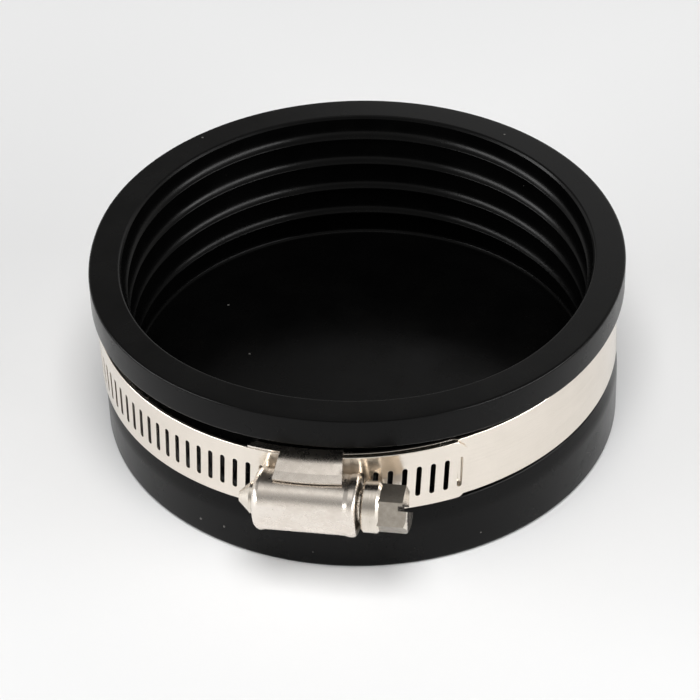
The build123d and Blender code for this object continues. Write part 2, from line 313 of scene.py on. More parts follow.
def apply_modifiers(piece):
    """Replace the piece's mesh with the one its modifiers give."""
    graph = bpy.context.evaluated_depsgraph_get()
    graph.update()
    made = bpy.data.meshes.new_from_object(piece.evaluated_get(graph))
    piece.modifiers.clear()
    piece.data = made


def combine(piece, other, operation):
    """UNION, DIFFERENCE or INTERSECT with another closed piece, which is used up."""
    modifier = piece.modifiers.new("combine", "BOOLEAN")
    modifier.operation = operation
    modifier.solver = "MANIFOLD"
    modifier.object = other
    apply_modifiers(piece)
    bpy.data.objects.remove(other)


def shade(piece):
    """Smooth each face with the neighbours it nearly lies in line with, large faces counting most."""
    mesh = bmesh.new()
    mesh.from_mesh(piece.data)
    mesh.normal_update()
    nearly = math.cos(math.radians(SMOOTH_ANGLE))
    sizes = [face.normal * face.calc_area() for face in mesh.faces]
    normals = []
    for face in mesh.faces:
        for corner in face.loops:
            total = Vector()
            for other in corner.vert.link_faces:
                if other.normal.dot(face.normal) > nearly:
                    total += sizes[other.index] * AREA_SCALE
            normals.append(total.normalized())
    mesh.free()
    piece.data.polygons.foreach_set("use_smooth", [True] * len(piece.data.polygons))
    piece.data.normals_split_custom_set(normals)


def soften(piece, limit="ANGLE"):
    """Round the sharp edges a little, then shade flats as flats."""
    bevel = piece.modifiers.new("edges", "BEVEL")
    bevel.width = PRESS_ROUND
    bevel.segments = EDGE_SEGMENTS
    bevel.limit_method = limit
    bevel.angle_limit = math.radians(SHARP_ANGLE)
    bevel.use_clamp_overlap = True
    apply_modifiers(piece)
    shade(piece)


def finish_piece(piece, material, body, slot, *nodes):
    """Give a piece its material and its body, and hide the CAD nodes it stands for. The slot is not used.
    """
    piece.data.materials.clear()
    piece.data.materials.append(material)
    if body:
        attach(piece, body)
    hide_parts(*nodes)


# ---- places in the clamp's own axes ------------------------------------------------
JOINTS = {joint["name"]: joint for joint in frame["joints"]}


def clamp_axes():
    """Matrix from the clamp's own axes to the frame, read off its two hinges."""
    up = Vector(JOINTS["clamp_swivel"]["axis"]).normalized()
    along = Vector(JOINTS["screw_turn"]["axis"]).normalized()
    along = (along - up * along.dot(up)).normalized()
    turned = Matrix((along, up.cross(along), up)).transposed().to_4x4()
    return Matrix.Translation(JOINTS["clamp_swivel"]["pos_m"]) @ turned


CLAMP = clamp_axes()
SCREW_AXIS_RADIUS = -(CLAMP.inverted() @ Vector(JOINTS["screw_turn"]["pos_m"])).y
LEAD_ANGLE = math.atan2(THREAD_PITCH, 2 * math.pi * CREST_RADIUS)


def on_clamp(azimuth, radius, height):
    """A point at an azimuth in degrees, a radius and a height in the clamp's axes."""
    angle = math.radians(azimuth)
    return CLAMP @ Vector((radius * math.cos(angle), radius * math.sin(angle), height))


def on_screw(along, radius, turn):
    """A point along the screw, at a radius and a turn in degrees. Turn 0 faces the band, 90 is up."""
    angle = math.radians(turn)
    across = radius * math.cos(angle) - SCREW_AXIS_RADIUS
    return CLAMP @ Vector((along, across, radius * math.sin(angle) - SCREW_DROP))


def clamp_sector(outline, start, end, count):
    """A closed (radius, height) outline turned from one azimuth to another, as a piece."""
    rings = [[on_clamp(azimuth, *point) for point in outline] for azimuth in span(start, end, count)]
    return new_piece("sector", loft(rings))


def screw_turned(outline):
    """A solid of revolution about the screw's axis from (along, radius) points, with flat ends."""
    turns = [360 * index / TURNED_SEGMENTS for index in range(TURNED_SEGMENTS)]
    rings = [[on_screw(along, radius, turn) for turn in turns] for along, radius in outline]
    return new_piece("turned", loft(rings))


# ---- rubber end cap ---------------------------------------------------------------
def cap_outline():
    """(radius, height) from the base's edge up the outside and down the ribbed bore to the floor."""
    rim_low = CAP_HEIGHT - RIM_HEIGHT
    seat_low = CLAMP.translation.z + SEAT_LOW
    wall = BORE_RADIUS - WALL_INSET
    corners = [
        (0, 0, 0), (BODY_RADIUS, 0, BASE_ROUND),
        (BODY_RADIUS, seat_low - SHOULDER_DROP, SHOULDER_ROUND), (SHOULDER_RADIUS, seat_low, EDGE_ROUND),
        (SEAT_RADIUS, seat_low, EDGE_ROUND), (SEAT_RADIUS, rim_low, EDGE_ROUND),
        (RIM_RADIUS, rim_low, EDGE_ROUND), (RIM_RADIUS, CAP_HEIGHT, EDGE_ROUND),
        (BORE_RADIUS, CAP_HEIGHT, EDGE_ROUND), (wall, CAP_HEIGHT - MOUTH_STEP, 0),
    ]
    crest = BORE_RADIUS - RIB_HEIGHT
    for number in range(RIB_COUNT):
        crest_height = CAP_HEIGHT - RIB_TOP_DEPTH - number * RIB_PITCH
        for share in span(0.0, 1.0, RIB_FLANK_STEPS)[:-1]:
            radius = wall - (wall - crest) * share ** RIB_SWELL
            corners.append((radius, crest_height + RIB_FLANK * (1 - share), 0))
        corners.append((crest, crest_height, RIB_ROUND))
        corners.append((wall, crest_height - RIB_UNDERSIDE, RIB_ROOT_ROUND))
    corners += [(BORE_RADIUS, FLOOR_THICKNESS, FLOOR_ROUND), (0, FLOOR_THICKNESS, 0)]
    return rounded(corners, 5)[1:-1]


def with_middles(outline, longest):
    """The outline with points added on its long straight stretches."""
    points = [outline[0]]
    for before, after in zip(outline, outline[1:]):
        pieces = max(1, math.ceil((after - before).length / longest))
        points += [before.lerp(after, (index + 1) / pieces) for index in range(pieces)]
    return points


def rim_offset(azimuth):
    """How far the soft rim stands out of round at an azimuth in degrees."""
    total = 0.0
    for middle, half_width, height in RIM_BULGES:
        away = abs((azimuth - middle + 180) % 360 - 180)
        if away < half_width:
            total += height * math.cos(math.radians(90 * away / half_width)) ** 2
    return total


def seat_lift(place):
    """How far a point of the outer wall is lifted, so that the groove's lower side follows the band."""
    axis = CLAMP.col[2]
    level = (place.x * axis.x + place.y * axis.y) / axis.z
    seat_low = CLAMP.translation.z + SEAT_LOW
    rim_low = CAP_HEIGHT - RIM_HEIGHT
    below = smoothstep(place.z / (seat_low - SHOULDER_DROP))
    above = smoothstep((rim_low - place.z) / (rim_low - seat_low - EDGE_ROUND))
    return -level * below * above


def make_end_cap(material):
    seat_low = CLAMP.translation.z + SEAT_LOW
    rim_low = CAP_HEIGHT - RIM_HEIGHT
    base_rings = [Vector((BODY_RADIUS * share, 0)) for share in DISC_SHARES]
    floor_rings = [Vector((BORE_RADIUS * share, FLOOR_THICKNESS)) for share in reversed(DISC_SHARES)]
    outline = base_rings + with_middles(cap_outline(), WALL_STEP) + floor_rings
    rings = []
    for radius, height in outline:
        # The wall gives way at the rim and is firm where the clamp holds it.
        give = smoothstep((height - seat_low) / (rim_low - seat_low))
        give *= smoothstep((radius - BORE_RADIUS * FLOOR_FIRM) / (BORE_RADIUS * FLOOR_FIRM_FADE))
        lean = BODY_LEAN * (1 - smoothstep(height / rim_low))
        ring = []
        for index in range(CAP_SEGMENTS):
            azimuth = 360 * index / CAP_SEGMENTS
            out = radius + give * rim_offset(azimuth)
            angle = math.radians(azimuth)
            place = Vector((out * math.cos(angle) + lean, out * math.sin(angle), height))
            if radius > (BORE_RADIUS + SEAT_RADIUS) / 2:
                place.z += seat_lift(place)
            ring.append(place)
        rings.append(ring)
    piece = new_piece("rubber_end_cap", loft(rings))
    shade(piece)
    finish_piece(piece, material, "cap", "rubber", "end_cap")


# ---- band -------------------------------------------------------------------------
def band_edge():
    """(depth, height past the flat) round one long edge of the strip, from outside to inside."""
    points = []
    for centre, start, end in (
        (BAND_THICKNESS - BAND_EDGE_ROUND, 90, 0),
        (BAND_EDGE_ROUND, 0, -90),
    ):
        for turn in span(start, end, 3):
            angle = math.radians(turn)
            depth = centre + BAND_EDGE_ROUND * math.sin(angle)
            points.append((depth, BAND_EDGE_ROUND * math.cos(angle)))
    return points


def slot_loop():
    """(along, height) round one slot, counter-clockwise from outside, starting low on the right."""
    half = SLOT_WIDTH / 2
    straight = (SLOT_LENGTH - SLOT_WIDTH) / 2
    points = [(half, height) for height in span(-straight, straight, SLOT_SIDE_STEPS)]
    for step in range(1, SLOT_ARC_STEPS):
        angle = math.pi * step / SLOT_ARC_STEPS
        points.append((half * math.cos(angle), straight + half * math.sin(angle)))
    points += [(-across, -height) for across, height in points]
    lean = Matrix.Rotation(-LEAD_ANGLE, 2)
    return [lean @ Vector(point) for point in points]


class Strip:
    """The band's mesh, built from points given by azimuth, depth from the inside and height."""

    def __init__(self, radius_at, half_width_at):
        self.mesh = bmesh.new()
        self.made = {}
        self.radius_at = radius_at
        self.half_width_at = half_width_at

    def vertex(self, azimuth, depth, height):
        key = (round(azimuth * 1e4), round(depth * 1e8), round(height * 1e8))
        if key not in self.made:
            place = on_clamp(azimuth, self.radius_at(azimuth) + depth, height)
            self.made[key] = self.mesh.verts.new(place)
        return self.made[key]

    def face(self, points):
        corners = [self.vertex(*point) for point in points]
        if len(set(corners)) > 2:
            self.mesh.faces.new(dict.fromkeys(corners))

    def flat(self, azimuth):
        """Half the width of the flat between the rounded edges."""
        return self.half_width_at(azimuth) - BAND_EDGE_ROUND

    def column(self, azimuth):
        """The heights that both sides of every cell share."""
        straight = (SLOT_LENGTH - SLOT_WIDTH) / 2
        middle = [height - SCREW_DROP for height in span(-straight, straight, SLOT_SIDE_STEPS)]
        return [-self.flat(azimuth)] + middle + [self.flat(azimuth)]

    def edges(self, stations):
        """The rounded long edges over a row of azimuths."""
        for left, right in zip(stations, stations[1:]):
            for side in (1, -1):
                profile = band_edge()
                for (depth, past), (next_depth, next_past) in zip(profile, profile[1:]):
                    self.face([
                        (left, depth, side * (self.flat(left) + past)),
                        (right, depth, side * (self.flat(right) + past)),
                        (right, next_depth, side * (self.flat(right) + next_past)),
                        (left, next_depth, side * (self.flat(left) + next_past)),
                    ])

    def plain(self, start, end, step):
        """A stretch with no slots."""
        stations = span(start, end, max(1, math.ceil(abs(end - start) / step)))
        for left, right in zip(stations, stations[1:]):
            for depth in (0, BAND_THICKNESS):
                heights = list(zip(self.column(left), self.column(right)))
                for (low, low_right), (high, high_right) in zip(heights, heights[1:]):
                    self.face([
                        (left, depth, low), (right, depth, low_right),
                        (right, depth, high_right), (left, depth, high),
                    ])
        self.edges(stations)

    def slotted(self, middle):
        """One slot and the metal round it: a ring of faces between the hole and the cell's border."""
        hole = []
        for along, height in slot_loop():
            turn = math.degrees(along / (self.radius_at(middle) + BAND_THICKNESS))
            hole.append((middle + turn, height - SCREW_DROP))
        left, right = middle - SLOT_PITCH / 2, middle + SLOT_PITCH / 2
        sides = self.column(middle)[1:-1]
        top = span(right, left, SLOT_ARC_STEPS - 2)
        border = [(right, height) for height in sides] + [(at, self.flat(at)) for at in top]
        border += [(left, height) for height in reversed(sides)]
        border += [(at, -self.flat(at)) for at in reversed(top)]
        for index in range(len(hole)):
            beside = (index + 1) % len(hole)
            (inner, inner_z), (next_inner, next_inner_z) = hole[index], hole[beside]
            (outer, outer_z), (next_outer, next_outer_z) = border[index], border[beside]
            for depth in (0, BAND_THICKNESS):
                self.face([
                    (inner, depth, inner_z), (outer, depth, outer_z),
                    (next_outer, depth, next_outer_z), (next_inner, depth, next_inner_z),
                ])
            self.face([
                (inner, 0, inner_z), (next_inner, 0, next_inner_z),
                (next_inner, BAND_THICKNESS, next_inner_z), (inner, BAND_THICKNESS, inner_z),
            ])
        self.edges(list(reversed(top)))

    def end(self, azimuth):
        """The cut end of the strip."""
        profile = [(depth, self.flat(azimuth) + past) for depth, past in band_edge()]
        outer = [(BAND_THICKNESS, height) for height in self.column(azimuth)[1:-1]]
        inner = [(0, height) for height in reversed(self.column(azimuth)[1:-1])]
        lower = [(depth, -height) for depth, height in reversed(profile)]
        self.face([(azimuth, depth, height) for depth, height in outer + profile + inner + lower])

    def piece(self, name):
        """The finished object, its punched edges marked for softening, but not the seam at the back."""
        bmesh.ops.recalc_face_normals(self.mesh, faces=self.mesh.faces)
        weight = self.mesh.edges.layers.float.new("bevel_weight_edge")
        seam = {round(SEAM_AZIMUTH * 1e4), round((SEAM_AZIMUTH - 360) * 1e4)}
        at_seam = {vertex for key, vertex in self.made.items() if key[0] in seam}
        for edge in self.mesh.edges:
            punched = edge.calc_face_angle(0) > math.radians(PUNCHED_EDGE)
            if punched and not at_seam.issuperset(edge.verts):
                edge[weight] = 1.0
        return new_piece(name, self.mesh)


def strap_radius(azimuth):
    """The plain half's inside radius: set in under the slotted end, and climbing towards the seam."""
    climbed = smoothstep((azimuth - CLIMB_AZIMUTH) / (SEAM_AZIMUTH - CLIMB_AZIMUTH))
    set_in = smoothstep((STEP_AZIMUTH - azimuth) / STEP_SPAN)
    set_in *= smoothstep((azimuth - FAR_STEP_AZIMUTH) / STEP_SPAN)
    return PLAIN_RADIUS + climbed * (SLOTTED_RADIUS - PLAIN_RADIUS) - set_in * STEP_DEPTH


def make_band_strap(material):
    strip = Strip(strap_radius, lambda azimuth: BAND_WIDTH / 2)
    strip.plain(ANCHOR_AZIMUTH, WINDOW_SPAN[0], ROWS_CLOSE)
    strip.plain(WINDOW_SPAN[0], WINDOW_SPAN[1], ROWS_CLOSER)
    strip.plain(WINDOW_SPAN[1], STEP_MESH_END, ROWS_CLOSEST)
    strip.plain(STEP_MESH_END, SEAM_AZIMUTH, ROWS_WIDE)
    strip.end(ANCHOR_AZIMUTH)
    strip.end(SEAM_AZIMUTH)
    piece = strip.piece("band_strap")
    inner, outer = WINDOW_RADII
    window = [(inner, WINDOW_LOW), (outer, WINDOW_LOW), (outer, WINDOW_HIGH), (inner, WINDOW_HIGH)]
    combine(piece, clamp_sector(window, *WINDOW_SPAN, WINDOW_ROWS), "DIFFERENCE")
    soften(piece, limit="WEIGHT")
    finish_piece(piece, material, None, "band_steel", "band_plain")
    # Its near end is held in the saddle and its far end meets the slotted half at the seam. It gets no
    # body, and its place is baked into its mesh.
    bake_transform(piece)


def tail_half_width(azimuth):
    """Half the strip's width, with its corners clipped at the tail."""
    from_tail = math.radians(TAIL_AZIMUTH - azimuth) * (SLOTTED_RADIUS + BAND_THICKNESS)
    return BAND_WIDTH / 2 - max(0.0, TAIL_CORNER - from_tail)


def make_band_slotted(material):
    strip = Strip(lambda azimuth: SLOTTED_RADIUS, tail_half_width)
    for number in range(SLOT_COUNT):
        strip.slotted(FIRST_SLOT_AZIMUTH - number * SLOT_PITCH)
    first_edge = FIRST_SLOT_AZIMUTH + SLOT_PITCH / 2
    last_edge = FIRST_SLOT_AZIMUTH - (SLOT_COUNT - 0.5) * SLOT_PITCH
    strip.plain(first_edge, TAIL_AZIMUTH, ROWS_CLOSE)
    strip.plain(SEAM_AZIMUTH - 360, last_edge, ROWS_WIDE)
    strip.end(TAIL_AZIMUTH)
    strip.end(SEAM_AZIMUTH - 360)
    piece = strip.piece("band_slotted_half")
    soften(piece, limit="WEIGHT")
    finish_piece(piece, material, "band", "band_steel", "band_slotted")


# ---- saddle -----------------------------------------------------------------------
def tab_outline(side):
    """(radius, height) of a tab: past the band's edge, down to a crease, then along the barrel's top."""
    barrel_top = HOUSING_RADIUS * BARREL_FLATTEN - side * SCREW_DROP
    crease, crease_low = SCREW_AXIS_RADIUS + CREASE_PAST_AXIS, barrel_top + CREASE_LIFT
    end, end_low = SCREW_AXIS_RADIUS + TAB_END_PAST_AXIS, barrel_top + TAB_GAP
    outer_half = SADDLE_HALF_WIDTH + SIDE_THICKNESS
    corners = [
        (SADDLE_RADIUS, SADDLE_HALF_WIDTH, 0),
        (SADDLE_RADIUS, outer_half, TAB_FOLD_ROUND),
        (TAB_BEND_RADIUS, outer_half, TAB_BEND_ROUND),
        (crease, crease_low + SIDE_THICKNESS, CREASE_ROUND),
        (end, end_low + SIDE_THICKNESS, TAB_END_ROUND),
        (end, end_low, TAB_END_ROUND),
        (crease, crease_low, CREASE_ROUND),
        (TAB_BEND_RADIUS, SADDLE_HALF_WIDTH, TAB_BEND_ROUND - SIDE_THICKNESS),
    ]
    return [(x, side * y) for x, y in rounded(corners, 5)]


def wing(side, start, end):
    """The wing beside a tab, turned out over the band's edge, narrower where it meets the tab."""
    rings = []
    for azimuth in span(start, end, WING_ROWS):
        share = (azimuth - start) / (end - start)
        inner = SADDLE_RADIUS + share * WING_NARROWING
        section = []
        for radius, height in (
            (inner, WING_HEIGHT), (WING_RADIUS, WING_HEIGHT),
            (WING_RADIUS, WING_HEIGHT + WING_THICKNESS), (inner, WING_HEIGHT + WING_THICKNESS),
        ):
            cut = WING_CUT * (1 - share) * (WING_RADIUS - radius) / (WING_RADIUS - SADDLE_RADIUS)
            section.append(on_clamp(azimuth + cut, radius, side * height))
        rings.append(section)
    return new_piece("wing", loft(rings))


def make_saddle(material):
    outer = SADDLE_RADIUS + SADDLE_THICKNESS
    low, high = (HOUSING_AZIMUTH + angle for angle in SADDLE_SPAN)
    tab_low, tab_high = (HOUSING_AZIMUTH + angle for angle in TAB_SPAN)

    def plate(half, start, end, count):
        outline = [(SADDLE_RADIUS, -half), (outer, -half), (outer, half), (SADDLE_RADIUS, half)]
        return clamp_sector(outline, start, end, count)

    piece = plate(SADDLE_PLATE_HALF, low, high, SADDLE_ROWS)
    wide_half = SADDLE_HALF_WIDTH + SIDE_THICKNESS - SADDLE_PLATE_INSET
    combine(piece, plate(wide_half, tab_low, tab_high, TAB_ROWS), "UNION")
    combine(piece, plate(wide_half, low + WING_CUT, tab_low + WING_OVERLAP, WING_PLATE_ROWS), "UNION")
    for side in (1, -1):
        combine(piece, clamp_sector(tab_outline(side), tab_low, tab_high, TAB_ROWS), "UNION")
        combine(piece, wing(side, low, tab_low + WING_OVERLAP), "UNION")
    piece.name = "clamp_saddle"
    soften(piece)
    finish_piece(piece, material, "clamp", "housing_steel", "saddle")


# ---- screw housing ------------------------------------------------------------------
def skirt_outline(side):
    """(radius, height) of the housing's side, from the barrel's top to the band's edge."""
    barrel_top = HOUSING_RADIUS * BARREL_FLATTEN - side * SCREW_DROP - PRESS_ROUND
    foot = BAND_CLEAR_RADIUS - SKIRT_THICKNESS
    corners = [
        (foot, SKIRT_HALF_WIDTH, 0), (TAB_BEND_RADIUS, SKIRT_HALF_WIDTH, SKIRT_ROUND),
        (SCREW_AXIS_RADIUS, barrel_top, 0), (SCREW_AXIS_RADIUS, barrel_top - SKIRT_THICKNESS, 0),
        (TAB_BEND_RADIUS, SKIRT_HALF_WIDTH - SKIRT_THICKNESS, 0),
        (foot, SKIRT_HALF_WIDTH - SKIRT_THICKNESS, 0),
    ]
    return [(x, side * y) for x, y in rounded(corners, 4)]


def barrel_radius(radius, turn):
    """The barrel's radius at a turn in degrees: round at the journal, a rounded square outside."""
    across, up = abs(math.cos(math.radians(turn))), abs(math.sin(math.radians(turn)))
    square = BARREL_FLATTEN / (across ** BARREL_POWER + up ** BARREL_POWER) ** (1 / BARREL_POWER)
    share = smoothstep((radius - JOURNAL_HOLE_RADIUS) / (HOUSING_RADIUS - JOURNAL_HOLE_RADIUS))
    return radius * (1 + (square - 1) * share)


def make_screw_housing(material):
    low_in, high_in = HOUSING_LOW + BEAD_LENGTH, HOUSING_HIGH - BEAD_LENGTH
    corners = [
        (HOUSING_LOW, JOURNAL_HOLE_RADIUS, HOLE_ROUND), (HOUSING_LOW, BEAD_RADIUS, POINT_END_ROUND),
        (low_in - NECK_HALF, BEAD_RADIUS, NECK_ROUND), (low_in + NECK_HALF, HOUSING_RADIUS, NECK_ROUND),
        (high_in - NECK_HALF, HOUSING_RADIUS, NECK_ROUND), (high_in + NECK_HALF, BEAD_RADIUS, NECK_ROUND),
        (HOUSING_HIGH, BEAD_RADIUS, BEAD_ROUND), (HOUSING_HIGH, HIGH_HOLE_RADIUS, HOLE_ROUND),
        (BORE_HALF, HIGH_HOLE_RADIUS, 0), (BORE_HALF, BORE_CLEAR_RADIUS, 0),
        (-BORE_HALF, BORE_CLEAR_RADIUS, 0), (-BORE_HALF, JOURNAL_HOLE_RADIUS, 0),
    ]
    outline = rounded(corners, 6)
    rings = []
    for index in range(BARREL_SEGMENTS):
        turn = 360 * (index + 0.5) / BARREL_SEGMENTS
        rings.append([on_screw(along, barrel_radius(radius, turn), turn) for along, radius in outline])
    piece = new_piece("screw_barrel", loft(rings, loop=True))
    tab_low, tab_high = (HOUSING_AZIMUTH + angle for angle in TAB_SPAN)
    for side in (1, -1):
        combine(piece, clamp_sector(skirt_outline(side), tab_low, tab_high, TAB_ROWS), "UNION")
    clearance = [
        (CLEARANCE_INNER, -CLEARANCE_HALF_HEIGHT), (BAND_CLEAR_RADIUS, -CLEARANCE_HALF_HEIGHT),
        (BAND_CLEAR_RADIUS, CLEARANCE_HALF_HEIGHT), (CLEARANCE_INNER, CLEARANCE_HALF_HEIGHT),
    ]
    first, last = HOUSING_AZIMUTH - CLEARANCE_HALF_SPAN, HOUSING_AZIMUTH + CLEARANCE_HALF_SPAN
    combine(piece, clamp_sector(clearance, first, last, CLEARANCE_ROWS), "DIFFERENCE")
    soften(piece)
    finish_piece(piece, material, "clamp", "housing_steel", "screw_housing")


# ---- worm screw -----------------------------------------------------------------------
def make_thread():
    """The thread as a ridge wound round the core, sunk a little into it."""
    section = [
        (-THREAD_BURY, -ROOT_WIDTH / 2), (0, -ROOT_WIDTH / 2),
        (CREST_RADIUS - ROOT_RADIUS, -CREST_WIDTH / 2), (CREST_RADIUS - ROOT_RADIUS, CREST_WIDTH / 2),
        (0, ROOT_WIDTH / 2), (-THREAD_BURY, ROOT_WIDTH / 2),
    ]
    rings = []
    for index in range(THREAD_STEPS * THREAD_TURNS + 1):
        turns = index / THREAD_STEPS
        rings.append([
            on_screw(THREAD_START + turns * THREAD_PITCH + along, ROOT_RADIUS + out, 360 * turns)
            for out, along in section
        ])
    return new_piece("thread", loft(rings))


def make_hexagon():
    """The hexagonal head with its chamfered end and driver slot."""
    corner_radius = HEX_ACROSS_FLATS / math.sqrt(3)
    turns = [HEX_TURN + 60 * side for side in range(6)]
    stations = (COLLAR_END - HEX_BURY, HEX_END)
    rings = [[on_screw(along, corner_radius, turn) for turn in turns] for along in stations]
    hexagon = new_piece("hexagon", loft(rings))
    # The chamfered end is turned: two straight cuts, in shares of the chamfer.
    envelope = [
        (COLLAR_END - MM, corner_radius * ENVELOPE_SLACK),
        (HEX_END - HEX_CHAMFER, corner_radius * ENVELOPE_SLACK),
        (HEX_END - 0.3 * HEX_CHAMFER, corner_radius - 0.6 * HEX_CHAMFER),
        (HEX_END, corner_radius - 1.4 * HEX_CHAMFER),
    ]
    combine(hexagon, screw_turned(envelope), "INTERSECT")
    half = DRIVER_SLOT_WIDTH / 2
    reach = 2 * COLLAR_RADIUS
    # The slot itself, then the half of the head beside it that is shorter.
    for low, high, depth in ((-half, half, DRIVER_SLOT_DEPTH), (-reach, 0, SHORT_PRONG)):
        rings = []
        for along in (HEX_END - depth, HEX_END + MM):
            ring = []
            for across, out in ((low, -reach), (high, -reach), (high, reach), (low, reach)):
                turn = DRIVER_SLOT_TURN + math.degrees(math.atan2(across, out))
                ring.append(on_screw(along, math.hypot(across, out), turn))
            rings.append(ring)
        combine(hexagon, new_piece("driver_slot", loft(rings)), "DIFFERENCE")
    return hexagon


def make_worm_screw(material, shaded_facet_material):
    corners = [
        (POINT_END, END_RADIUS), (POINT_END, POINT_RADIUS), (POINT_START, JOURNAL_RADIUS),
        (CORE_LOW, JOURNAL_RADIUS), (CORE_LOW, ROOT_RADIUS), (CORE_HIGH, ROOT_RADIUS),
        (CORE_HIGH, JOURNAL_RADIUS), (COLLAR_START, JOURNAL_RADIUS),
        (COLLAR_START, COLLAR_RADIUS - COLLAR_CHAMFER), (COLLAR_START + COLLAR_CHAMFER, COLLAR_RADIUS),
        (COLLAR_END - COLLAR_CHAMFER, COLLAR_RADIUS), (COLLAR_END, COLLAR_RADIUS - COLLAR_CHAMFER),
        (COLLAR_END, END_RADIUS),
    ]
    piece = screw_turned(corners)
    combine(piece, make_thread(), "UNION")
    combine(piece, make_hexagon(), "UNION")
    piece.name = "worm_drive_screw"
    soften(piece)
    to_clamp = CLAMP.inverted()
    finish_piece(piece, material, "screw", "screw_steel", "worm_screw")
    piece.data.materials.append(shaded_facet_material)
    # The hex head's large flats get the darker copy of the steel, which is painted shade.
    for face in piece.data.polygons:
        sideways = abs((to_clamp.to_3x3() @ face.normal).x) < FACET_TILT
        on_head = (to_clamp @ face.center).x > COLLAR_END
        if on_head and sideways and face.area > FACET_AREA:
            face.material_index = 1


# ---- materials --------------------------------------------------------------------------
RUBBER_BLACKS = ((0.0006, 0.0006, 0.0007), (0.0018, 0.0018, 0.0017))
RUBBER_ROUGHNESS = (0.21, 0.31)
RUBBER_IOR = 1.23
DUST_COLOUR = (0.30, 0.29, 0.27)
DUST_COVER = 0.35           # how strongly a speck hides the black
DUST_CELLS = 330            # cells to the metre
DUST_RARITY = 0.92          # only cells with a random value above this hold a speck
DUST_SIZE = 0.11            # the largest speck, as a share of its cell
LINE_SHARE = 0.55           # the steel's wear is this much fine lines and the rest soft clouds
WEAR_RANGE = (0.3, 0.7)     # the part of the wear's noise that is spread over a steel's two looks
ROUGH_SPREAD = (1.3, 0.8)   # a steel's roughness where it is dark and where it is pale, as shares
# Each steel's pale colour, dark colour, streaks (blobs to the metre on each axis) and roughness.
STEELS = {
    "band_steel": ((0.87, 0.80, 0.72), (0.77, 0.71, 0.63), (30, 30, 4200), 0.20),
    "pressed_steel": ((0.88, 0.82, 0.75), (0.74, 0.67, 0.60), (500, 500, 900), 0.26),
    "screw_steel": ((0.86, 0.80, 0.72), (0.66, 0.60, 0.52), (3500, 300, 300), 0.22),
    # The last is a darker copy of the screw's steel for the hex head's large flats: painted shade.
    "shaded_facet_steel": ((0.46, 0.42, 0.37), (0.30, 0.27, 0.23), (900, 900, 900), 0.34),
}


class Nodes:
    """A short way to write a material's node tree."""

    def __init__(self, name):
        self.material = bpy.data.materials.new(name)
        self.material.use_nodes = True
        self.tree = self.material.node_tree
        self.shader = self.tree.nodes["Principled BSDF"]

    def add(self, kind, **values):
        """A new node with some of its settings."""
        made = self.tree.nodes.new(kind)
        for name, value in values.items():
            setattr(made, name, value)
        return made

    def join(self, source, target):
        self.tree.links.new(source, target)

    def place(self, rotation=None, scale=(1, 1, 1)):
        """The piece's own coordinates in metres, turned and scaled."""
        coordinates = self.add("ShaderNodeTexCoord")
        mapping = self.add("ShaderNodeMapping")
        if rotation is not None:
            mapping.inputs["Rotation"].default_value = rotation
        mapping.inputs["Scale"].default_value = scale
        self.join(coordinates.outputs["Object"], mapping.inputs["Vector"])
        return mapping.outputs["Vector"]

    def noise(self, place, scale, detail=2.0, roughness=0.5):
        """A value from 0 to 1 that varies smoothly. A scale of 1000 is about one blob to a millimetre."""
        made = self.add("ShaderNodeTexNoise")
        made.inputs["Scale"].default_value = scale
        made.inputs["Detail"].default_value = detail
        made.inputs["Roughness"].default_value = roughness
        self.join(place, made.inputs["Vector"])
        return made.outputs["Fac"]

    def remap(self, value, low, high, from_low=0.0, from_high=1.0):
        """The value moved from one range to another, and kept inside it."""
        made = self.add("ShaderNodeMapRange")
        made.inputs["From Min"].default_value = from_low
        made.inputs["From Max"].default_value = from_high
        made.inputs["To Min"].default_value = low
        made.inputs["To Max"].default_value = high
        self.join(value, made.inputs["Value"])
        return made.outputs["Result"]

    def maths(self, operation, first, second):
        """A Math node of two values, each a number or another node's output."""
        made = self.add("ShaderNodeMath", operation=operation)
        for index, value in enumerate((first, second)):
            if isinstance(value, (int, float)):
                made.inputs[index].default_value = value
            else:
                self.join(value, made.inputs[index])
        return made.outputs[0]

    def mix(self, factor, first, second):
        """A mix of two colours, each a tuple or another node's output."""
        made = self.add("ShaderNodeMix", data_type="RGBA")
        self.join(factor, made.inputs["Factor"])
        for name, value in (("A", first), ("B", second)):
            socket = [s for s in made.inputs if s.name == name and s.type == "RGBA"][0]
            if isinstance(value, tuple):
                socket.default_value = (*value, 1.0)
            else:
                self.join(value, socket)
        return [s for s in made.outputs if s.type == "RGBA"][0]

    def bump(self, height, strength, distance, before=None):
        made = self.add("ShaderNodeBump")
        made.inputs["Strength"].default_value = strength
        made.inputs["Distance"].default_value = distance
        self.join(height, made.inputs["Height"])
        if before is not None:
            self.join(before, made.inputs["Normal"])
        return made.outputs["Normal"]


